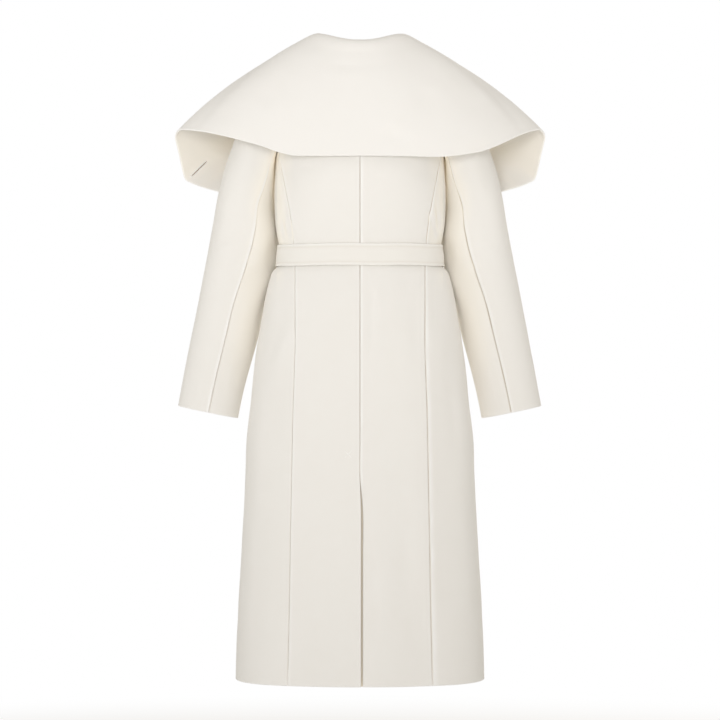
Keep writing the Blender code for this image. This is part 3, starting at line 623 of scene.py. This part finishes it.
shaded_underlap_wool = wool_material("underlap wool", (0.90, 0.82, 0.69, 1), (0.86, 0.77, 0.63, 1), 0.22, 0.0)
underlap = cloth_piece("vent_underlap", shaded_underlap_wool, PANEL_CLOTH, body_relief,
                       Edges(PLAIN_EDGE, PLAIN_EDGE, FREE_EDGE, PLAIN_EDGE))

# ---- Vent tack ----
# A cross of soft basting thread through the left back panel, which keeps the vent shut in the shop
# and is cut before the coat is worn. It is sewn by hand.


def on_cloth(piece, x, z):
    """The point and normal of a piece's outer face straight in from behind."""
    hit, place, normal, _ = piece.ray_cast(Vector((x, 1, z)), Vector((0, -1, 0)))
    assert hit
    return np.array(place), np.array(normal)


THREAD_SIDES = 8


def thread(name, piece, runs, radius, lift, material):
    """Lengths of thread laid on a piece's cloth, each a tube with round ends along its points."""
    points, quads = [], []
    for run in runs:
        places, normals = (np.array(found) for found in zip(*(on_cloth(piece, x, z) for x, z in run)))
        along = np.gradient(places, axis=0)
        aside = np.cross(along, normals)
        aside /= np.linalg.norm(aside, axis=1)[:, None]
        t = np.linspace(-1, 1, len(run))
        thick = radius * np.sqrt(np.maximum(1 - t**6, 0.02))
        first = sum(len(ring) for ring in points)
        turns = np.linspace(0, 2 * math.pi, THREAD_SIDES, endpoint=False)
        for place, normal, side, size in zip(places, normals, aside, thick):
            ring = [
                place + normal * (lift + size * math.sin(turn)) + side * size * math.cos(turn)
                for turn in turns
            ]
            points.append(ring)
        for i in range(len(run) - 1):
            base = first + THREAD_SIDES * i
            for k in range(THREAD_SIDES):
                one, two = base + k, base + (k + 1) % THREAD_SIDES
                quads.append([one, two, two + THREAD_SIDES, one + THREAD_SIDES])
    data = bpy.data.meshes.new(name)
    data.from_pydata([tuple(p) for ring in points for p in ring], [], quads)
    data.shade_smooth()
    data.materials.append(material)
    laid = bpy.data.objects.new(name, data)
    bpy.context.scene.collection.objects.link(laid)
    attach(laid, "root")
    return laid


def line(start, end, count=16):
    """Points along a straight run, from its start to its end."""
    return np.linspace(start, end, count)


twist = wool_material("silk twist", (0.985, 0.975, 0.955, 1), (0.93, 0.90, 0.85, 1), 0.4, 0.0)
bpy.context.view_layer.update()
TACK_CROSS = [line((0.0140, -0.7255), (0.0270, -0.7385)), line((0.0145, -0.7390), (0.0275, -0.7260))]
TACK_RADIUS, TACK_LIFT = 0.0006, 0.0001
tack = thread("vent_tack", bpy.data.objects["back_left_cloth"], TACK_CROSS, TACK_RADIUS, TACK_LIFT,
              twist)

# ---- Side back panels ----
# They run from the princess seams round to the side seams, and are cut on the straight grain.

SIDE_SEAM = Edge(0.0006, 0.0003, 0.3, 0.3, SEWN)
side_back_edges = {
    "left": Edges(SIDE_SEAM, Edge(0.0002, 0.0003, 0, 0.10, SEWN), FREE_EDGE, PLAIN_EDGE),
    "right": Edges(Edge(0.0005, 0.0007, 0.85, 0.30, SEWN), SIDE_SEAM, FREE_EDGE, PLAIN_EDGE),
}
for side in ("left", "right"):
    side_back = cloth_piece(f"side_back_{side}", body_wool, PANEL_CLOTH, body_relief,
                            side_back_edges[side])

# ---- Fronts ----
# Each front runs from the side seam past the middle, the wearer's right one over the left one. The
# belt alone holds them closed. Their free edges are faced and pressed flat.

BREAK_Z = -0.345
WRAP_EDGE = Edge(0.0004, 0, 0, 0.3, BREAK_Z)
front_edges = {
    "left": Edges(WRAP_EDGE, SIDE_SEAM, FREE_EDGE, SHOULDER_SEAM),
    "right": Edges(SIDE_SEAM, WRAP_EDGE, FREE_EDGE, SHOULDER_SEAM),
}
for side in ("left", "right"):
    front = cloth_piece(f"front_{side}", body_wool, PANEL_CLOTH, body_relief, front_edges[side])

# ---- Sleeves ----
# Two-piece sleeves of the same wool, set into the armholes under the collar, with a seam behind
# the elbow and one in front. The plain cuffs are turned up inside.

# The folds of both sleeves as seen from behind, at the wearer's left; the right one is mirrored
# and shifted a little, so that the two don't match.
SLEEVE_BACK_CREASES = [
    Crease(0.196, -0.330, 0.225, -0.350, 0.262, -0.346, 0.0075, 0.0012, 0.6),
    Crease(0.186, -0.372, 0.214, -0.395, 0.250, -0.402, 0.0070, 0.0010, 0.6),
    Crease(0.240, -0.560, 0.246, -0.600, 0.259, -0.640, 0.0050, 0.0006, 0.5),
    Crease(0.206, -0.250, 0.212, -0.300, 0.204, -0.350, 0.0120, 0.0010, 0.4),
]
SLEEVE_FRONT_CREASES = [
    Crease(0.176, -0.350, 0.205, -0.372, 0.246, -0.366, 0.0080, 0.0017, 0.7),
    Crease(0.184, -0.400, 0.215, -0.414, 0.256, -0.402, 0.0075, 0.0014, 0.7),
    Crease(0.196, -0.455, 0.224, -0.462, 0.258, -0.446, 0.0070, 0.0010, 0.6),
    Crease(0.180, -0.270, 0.208, -0.262, 0.226, -0.232, 0.0085, 0.0012, 0.6),
]


def sleeve_relief(side):
    across = 1 if side == "left" else -1
    drift = 0 if side == "left" else 0.009

    def relief(face, normals):
        mirrored = face * np.array([across, 1, 1]) + np.array([0, 0, drift])
        behind = ramp(normals[..., 1], -0.25, 0.25)
        moved = pressed(mirrored, SLEEVE_BACK_CREASES) * behind
        moved = moved + pressed(mirrored, SLEEVE_FRONT_CREASES) * (1 - behind)
        moved = moved + 0.0005 * ripple(mirrored, (0.10, 0.10, 0.30), drift * 300)
        return moved + 0.00014 * ripple(face, (0.04, 0.04, 0.07), 1.0)

    return relief


UPPER_CUT, UNDER_CUT = (0.250, 0.620, 0.88), (0.150, 0.490, 0.92)
FRONT_SLEEVE_SEAM = Edge(0.0005, 0.0004, 0.2, 0.3, SEWN)
back_sleeve_seams = {
    "left_upper": Edge(0, 0.0009, 1.00, 0, SEWN),
    "left_under": Edge(0.0003, 0, 0, 0.15, SEWN),
    "right_upper": Edge(0.0005, 0.0006, 0.65, 0.40, SEWN),
    "right_under": Edge(0.0005, 0.0003, 0, 0.40, SEWN),
}
for side in ("left", "right"):
    for layer, cut in (("upper", UPPER_CUT), ("under", UNDER_CUT)):
        seams = [FRONT_SLEEVE_SEAM, back_sleeve_seams[f"{side}_{layer}"]]
        if (side == "left") == (layer == "under"):
            seams.reverse()
        sleeve = cloth_piece(f"sleeve_{side}_{layer}", body_wool, PANEL_CLOTH, sleeve_relief(side),
                             Edges(*seams, FREE_EDGE, PLAIN_EDGE))

# ---- Collar ----
# One wide piece of doubled, pressed wool, rolled at the neck, with its lapels cut in one with it.
# It spreads over both shoulders like a cape. The two layers are sewn round the outer edge, turned
# and pressed, so the edge is a firm round roll, with a painted highlight along it.

COLLAR_CLOTH = 0.0034
# Its colour is a shade lighter than the body wool's: painted light, for its upward face, which catches
# more light.
collar_wool = wool_material("collar wool", (0.928, 0.908, 0.874, 1), (0.893, 0.868, 0.824, 1), 0.22, 0.12)
COLLAR_BACK_CREASES = [
    Crease(-0.060, -0.028, 0.010, -0.046, 0.080, -0.030, 0.0100, 0.0009, 0.4),
    Crease(-0.110, -0.070, -0.128, -0.110, -0.118, -0.160, 0.0220, 0.0016, 0.3),
    Crease(0.120, -0.060, 0.150, -0.090, 0.196, -0.100, 0.0180, 0.0012, 0.4),
    Crease(-0.035, -0.150, -0.060, -0.172, -0.092, -0.170, 0.0130, 0.0012, 0.5),
    Crease(0.205, -0.100, 0.236, -0.120, 0.262, -0.140, 0.0150, 0.0010, 0.4),
    Crease(-0.190, -0.090, -0.222, -0.112, -0.250, -0.136, 0.0160, 0.0012, 0.4),
]
COLLAR_FRONT_CREASES = [
    Crease(-0.070, -0.060, -0.130, -0.120, -0.190, -0.210, 0.0230, 0.0018, 0.4),
    Crease(0.074, -0.070, 0.140, -0.130, 0.205, -0.200, 0.0230, 0.0017, 0.4),
    Crease(-0.020, -0.220, -0.080, -0.240, -0.140, -0.240, 0.0180, 0.0012, 0.4),
    Crease(0.030, -0.250, 0.090, -0.252, 0.150, -0.235, 0.0180, 0.0012, 0.4),
]


def collar_relief(face, normals):
    behind = ramp(face[..., 1], -0.02, 0.02)
    shown = ramp(normals[..., 1] * np.where(behind > 0.5, 1, -1), -0.2, 0.2)
    moved = pressed(face, COLLAR_BACK_CREASES) * behind * shown
    moved = moved + pressed(face, COLLAR_FRONT_CREASES) * (1 - behind) * shown
    moved = moved + 0.0007 * ripple(face, (0.20, 0.20, 0.16), 0.4) * shown
    return moved + 0.00014 * ripple(face, (0.05, 0.05, 0.05), 1.0)


def lapel_painted_light(face, normals):
    """Painted bounce light and painted glow on the lapels' wrong side, which turns inward and down beside
    the sleeves.
    """
    x = np.abs(face[..., 0])
    wing = ramp(x, 0.16, 0.22) * ramp(face[..., 2], -0.12, -0.17) * ramp(normals[..., 2], 0.3, -0.3)
    wing = wing * ramp(normals[..., 1], -0.30, 0.0)  # the right side faces forward and has none
    return wing, wing * (0.10 + 0.20 * ramp(x, 0.300, 0.230))


collar = cloth_piece("collar", collar_wool, COLLAR_CLOTH, collar_relief,
                     Edges(FREE_EDGE, FREE_EDGE, FREE_EDGE, PLAIN_EDGE),
                     step=0.0046, painted_light=lapel_painted_light)

# ---- Lapel buttonhole ----
# A worked buttonhole through the left lapel, whose wrong side shows from behind: a cut with an edge
# of close silk stitches along both lips and a bar across its outer end.

HOLE_OUTER, HOLE_INNER = np.array([0.3112, -0.2262]), np.array([0.2827, -0.1969])
hole_way = (HOLE_INNER - HOLE_OUTER) / np.linalg.norm(HOLE_INNER - HOLE_OUTER)
hole_side = np.array([-hole_way[1], hole_way[0]])
bpy.context.view_layer.update()


def along_hole(aside):
    return line(HOLE_OUTER + hole_side * aside, HOLE_INNER + hole_side * aside, 40)


LIP_ASIDE, BAR_OUT, BAR_HALF = 0.0016, 0.0006, 0.0032
CUT_RADIUS, CUT_LIFT = 0.0007, -0.0003
STITCH_RADIUS, STITCH_LIFT = 0.0010, 0.0003
# The slit of the cut is a dark brown tube sunk into the cloth: painted shadow in the slit.
painted_cut_shadow = wool_material("painted cut shadow", (0.28, 0.16, 0.06, 1), (0.22, 0.12, 0.05, 1), 0.5, 0.0)
cut = thread("buttonhole_cut", collar, [along_hole(0.0)], CUT_RADIUS, CUT_LIFT, painted_cut_shadow)
lips = [along_hole(LIP_ASIDE), along_hole(-LIP_ASIDE)]
bar_start, bar_end = (HOLE_OUTER - hole_way * BAR_OUT + hole_side * k for k in (-BAR_HALF, BAR_HALF))
lips.append(line(bar_start, bar_end))
stitches = thread("buttonhole_stitches", collar, lips, STITCH_RADIUS, STITCH_LIFT, twist)

# ---- Belt ----
# A flat tube of the same wool, 40 mm wide, turned and pressed, with the edges' seams inside it. It
# goes round the waist over both fronts, and is tied in front.

BELT_CLOTH = 0.003
belt_wool = wool_material("belt wool", (0.905, 0.880, 0.830, 1), DEEP_IVORY, 0.22, 0.10)
BELT_AROUND = 360
BELT_ACROSS = np.array([0, 0.02, 0.045, 0.08, 0.115, 0.15, 0.19, 0.26, 0.36, 0.5])
BELT_ACROSS = np.concatenate([BELT_ACROSS, 1 - BELT_ACROSS[-2::-1]])
BELT_ROUNDED = 0.6  # in thicknesses
GROOVE_DEPTH, GROOVE_INSET, GROOVE_WIDTH = 0.0005, 0.0062, 0.0014  # beside the pressed edges
SLACK_DEPTH, WAVER = 0.0005, 0.0006
LIGHT_INSET, LIGHT_WIDTH = 0.0012, 0.0010  # of the painted highlight along both edges


def belt_rows():
    """The middle of the belt's wall as two closed rows of points, at its lower and upper edge."""
    places, _, _ = wall_middle("belt", BELT_CLOTH)
    points = np.array(list(places.values()))
    middle = points[:, 2].mean()
    rows = []
    for row in (points[points[:, 2] < middle], points[points[:, 2] >= middle]):
        rows.append(row[np.argsort(np.arctan2(row[:, 1], row[:, 0]))])
    return np.array(rows)


def belt_wall():
    """The whole belt as one closed tube of cloth, whose middle runs through its two rows."""
    low, high = belt_rows()
    around = np.linspace(0, 1, BELT_AROUND, endpoint=False)
    edges = []
    for row in (low, high):
        closed = np.concatenate([row[-3:], row, row[:3]])
        knots = (np.arange(len(closed)) - 3) / len(row)
        edges.append(through(closed, knots, around))
    share = BELT_ACROSS[:, None, None]
    face = edges[0] * (1 - share) + edges[1] * share
    wide = np.concatenate([face[:, -1:], face, face[:, :1]], axis=1)
    normals = normals_of(wide)[:, 1:-1]
    height = np.linalg.norm(edges[1] - edges[0], axis=1).mean()
    v = BELT_ACROSS[:, None] * height
    from_edge = np.minimum(v, height - v)
    half = BELT_CLOTH / 2 * np.sqrt(1 - (1 - np.clip(from_edge / BELT_CLOTH / BELT_ROUNDED, 0, 1)) ** 2)
    half = half * np.ones((1, BELT_AROUND))
    groove = GROOVE_DEPTH * bell(from_edge, GROOVE_INSET, GROOVE_WIDTH)
    groove = groove * (1 + 0.4 * ripple(face, (0.05, 0.05, 0.05)))
    slack = SLACK_DEPTH * ripple(face, (0.05, 0.05, 0.03), 0.6)
    slack = slack * np.sin(BELT_ACROSS * math.pi)[:, None]
    middle = face + normals * slack[..., None]
    middle[..., 2] += WAVER * ripple(face, (0.09, 0.09, 0.5), 0.2)
    outer = middle + normals * (half - groove)[..., None]
    inner = middle - normals * half[..., None]
    rings = np.concatenate([outer, inner[-2:0:-1]])
    count = len(rings)
    index = np.arange(count * BELT_AROUND).reshape(count, BELT_AROUND)
    below, left = np.roll(index, -1, 0), np.roll(index, -1, 1)
    quads = np.stack([index, left, np.roll(left, -1, 0), below], axis=-1).reshape(-1, 4)
    length = np.linalg.norm(np.diff(low, axis=0), axis=1).sum()
    flat = np.stack(np.meshgrid(around * length, np.linspace(0, 2 * height, count)), axis=-1)
    # A painted highlight along both edges, stronger along the upper one, which faces the light, and
    # painted shade in the grooves.
    light = 0.8 * bell(height - v, LIGHT_INSET, LIGHT_WIDTH) + 0.4 * bell(v, LIGHT_INSET, LIGHT_WIDTH)
    light = light - 0.12 * bell(from_edge, GROOVE_INSET, 0.0012)
    painted_shading = np.concatenate([light, light[-2:0:-1]]) * np.ones((1, BELT_AROUND))
    points = rings.reshape(-1, 3)
    flat = flat.reshape(-1, 2)
    return cloth_object("belt_cloth", points, quads, belt_wool, flat, {"painted_shading": painted_shading.ravel()})


belt = belt_wall()
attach(belt, "root")
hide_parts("belt")

# ---- Belt ends ----
# The belt's two free ends hang from the tie, one over the other, with square turned tips.


def end_relief(face, normals):
    ends = ramp(face[..., 2], -0.46, -0.405)
    gathered = np.sin((face[..., 0] - 0.002) * 520) * 0.0006 * ends
    return gathered + 0.0004 * ripple(face, (0.05, 0.05, 0.12), 2.2)


for side, length in (("left", 0.335), ("right", 0.290)):
    end = cloth_piece(f"belt_end_{side}", belt_wool, BELT_CLOTH, end_relief,
                      Edges(FREE_EDGE, FREE_EDGE, FREE_EDGE, PLAIN_EDGE),
                      step=0.0025)

# ---- Belt knot ----
# The tie: one end crosses over the belt and is tucked down behind it, so its cloth is drawn
# together in soft pleats that fan out above and below.

low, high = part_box("belt_knot")
knot_middle = (low + high) / 2
knot_half = (high - low) / 2
mesh = bmesh.new()
mesh.from_mesh(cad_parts["belt_knot"].data)
bmesh.ops.remove_doubles(mesh, verts=mesh.verts, dist=SAME_POINT)
bmesh.ops.join_triangles(
    mesh, faces=mesh.faces, angle_face_threshold=math.pi, angle_shape_threshold=math.pi
)
bmesh.ops.subdivide_edges(mesh, edges=mesh.edges, cuts=3, use_grid_fill=True, smooth=0.6)
KNOT_PLEATS = (-0.62, -0.18, 0.28, 0.66)
PLEAT_WIDTH, PLEAT_DEPTH, BAND_DEPTH = 0.11, 0.0016, 0.0006
for vert in mesh.verts:
    x = (vert.co.x - knot_middle.x) / knot_half.x
    z = (vert.co.z - knot_middle.z) / knot_half.z
    front = max(-(vert.co.y - knot_middle.y) / knot_half.y, 0)
    fan = x - 0.16 * z - 0.10 * z * abs(z)
    press = 0.0
    for k, pleat in enumerate(KNOT_PLEATS):
        narrow = pleat * (0.72 + 0.28 * abs(z))
        press += (0.9 + 0.25 * math.sin(4 * k)) * math.exp(-(((fan - narrow) / PLEAT_WIDTH) ** 2))
    band = math.exp(-(((z + 0.05 - 0.12 * x) / 0.5) ** 2))
    pleated = PLEAT_DEPTH * press * (0.45 + 0.55 * band) * front
    vert.co.y += pleated - BAND_DEPTH * band * front
knot_data = bpy.data.meshes.new("belt_knot_cloth")
mesh.to_mesh(knot_data)
mesh.free()
knot_cloth = knot_data.uv_layers.new(name="cloth")
for corner, flat in zip(knot_data.loops, knot_cloth.uv):
    flat.vector = knot_data.vertices[corner.vertex_index].co.xz
knot_data.shade_smooth()
knot_data.materials.append(belt_wool)
knot = bpy.data.objects.new("belt_knot_cloth", knot_data)
bpy.context.scene.collection.objects.link(knot)
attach(knot, "root")
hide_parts("belt_knot")

# ---- Stage ----
# A plain pale floor under the open hem, a bright even surround and soft studio lights.

FLOOR_Z, FLOOR_RADIUS = -1.50, 40.0
FADE_START, FADE_END = 1.9, 3.2  # from the floor's middle, where its own light takes over
floor_data = bpy.data.meshes.new("floor")
mesh = bmesh.new()
bmesh.ops.create_circle(mesh, cap_ends=True, segments=96, radius=FLOOR_RADIUS)
bmesh.ops.translate(mesh, verts=mesh.verts, vec=(0, 0, FLOOR_Z))
mesh.to_mesh(floor_data)
mesh.free()
floor = bpy.data.objects.new("floor", floor_data)
bpy.context.scene.collection.objects.link(floor)
pale = bpy.data.materials.new("pale floor")
pale.use_nodes = True
tree = pale.node_tree
shader = tree.nodes["Principled BSDF"]
shader.inputs["Base Color"].default_value = (0.93, 0.93, 0.93, 1)
shader.inputs["Roughness"].default_value = 0.9
glow = tree.nodes.new("ShaderNodeEmission")
bounce = tree.nodes.new("ShaderNodeMix")
bounce.data_type = "RGBA"
bounce.inputs["A"].default_value = (1.12, 1.10, 1.06, 1)
bounce.inputs["B"].default_value = (1, 1, 1, 1)
rays = tree.nodes.new("ShaderNodeLightPath")
link(tree, rays.outputs["Is Camera Ray"], bounce.inputs["Factor"])
link(tree, next(s for s in bounce.outputs if s.type == "RGBA"), glow.inputs["Color"])
away = tree.nodes.new("ShaderNodeVectorMath")
away.operation = "LENGTH"
link(tree, tree.nodes.new("ShaderNodeTexCoord").outputs["Object"], away.inputs[0])
fade = tree.nodes.new("ShaderNodeMapRange")
fade.interpolation_type = "SMOOTHSTEP"
fade.inputs["From Min"].default_value = FADE_START
fade.inputs["From Max"].default_value = FADE_END
link(tree, away.outputs["Value"], fade.inputs["Value"])
both = tree.nodes.new("ShaderNodeMixShader")
link(tree, fade.outputs["Result"], both.inputs["Fac"])
link(tree, shader.outputs["BSDF"], both.inputs[1])
link(tree, glow.outputs["Emission"], both.inputs[2])
link(tree, both.outputs["Shader"], tree.nodes["Material Output"].inputs["Surface"])
floor_data.materials.append(pale)

scene = bpy.context.scene
world = bpy.data.worlds.new("surround")
scene.world = world
world.use_nodes = True
tree = world.node_tree
seen = tree.nodes["Background"]
seen.inputs["Color"].default_value = (1, 1, 1, 1)
seen.inputs["Strength"].default_value = 1.0
lit = tree.nodes.new("ShaderNodeBackground")
lit.inputs["Color"].default_value = (1.0, 0.96, 0.88, 1)
lit.inputs["Strength"].default_value = 0.46
rays = tree.nodes.new("ShaderNodeLightPath")
either = tree.nodes.new("ShaderNodeMixShader")
link(tree, rays.outputs["Is Camera Ray"], either.inputs["Fac"])
link(tree, lit.outputs["Background"], either.inputs[1])
link(tree, seen.outputs["Background"], either.inputs[2])
link(tree, either.outputs["Shader"], tree.nodes["World Output"].inputs["Surface"])

AIM = Vector((0, 0, -0.565))
Softbox = namedtuple("Softbox", "name x y z aim_z size power colour")
SOFTBOXES = [
    Softbox("key softbox", 0.4, 4.6, 0.2, -0.30, 1.1, 51, (0.95, 0.955, 0.99)),
    Softbox("top softbox", -0.2, 1.6, 2.2, -0.10, 1.8, 11, (1.0, 0.98, 0.98)),
    Softbox("side softbox", 3.2, 1.2, 0.3, -0.40, 1.6, 6.5, (0.86, 0.93, 1.0)),
    Softbox("front softbox", -1.2, -4.2, 1.2, -0.56, 2.2, 62, (1.0, 0.93, 0.82)),
]
for box in SOFTBOXES:
    light = bpy.data.lights.new(box.name, "AREA")
    light.size = box.size
    light.energy = box.power
    light.color = box.colour
    lamp = bpy.data.objects.new(box.name, light)
    lamp.location = (box.x, box.y, box.z)
    way = Vector((0, 0, box.aim_z)) - lamp.location
    lamp.rotation_euler = way.to_track_quat("-Z", "Y").to_euler()
    scene.collection.objects.link(lamp)

CAMERA_DISTANCE, SENSOR, LENS = 5.2, 36.0, 142.6
camera_data = bpy.data.cameras.new("camera")
camera_data.sensor_width = SENSOR
camera_data.lens = LENS
camera_data.clip_end = 100
camera = bpy.data.objects.new("camera", camera_data)
camera.location = AIM + Vector((0, CAMERA_DISTANCE, 0))
camera.rotation_euler = (AIM - camera.location).to_track_quat("-Z", "Y").to_euler()
scene.collection.objects.link(camera)
scene.camera = camera
scene.view_settings.view_transform = "Standard"
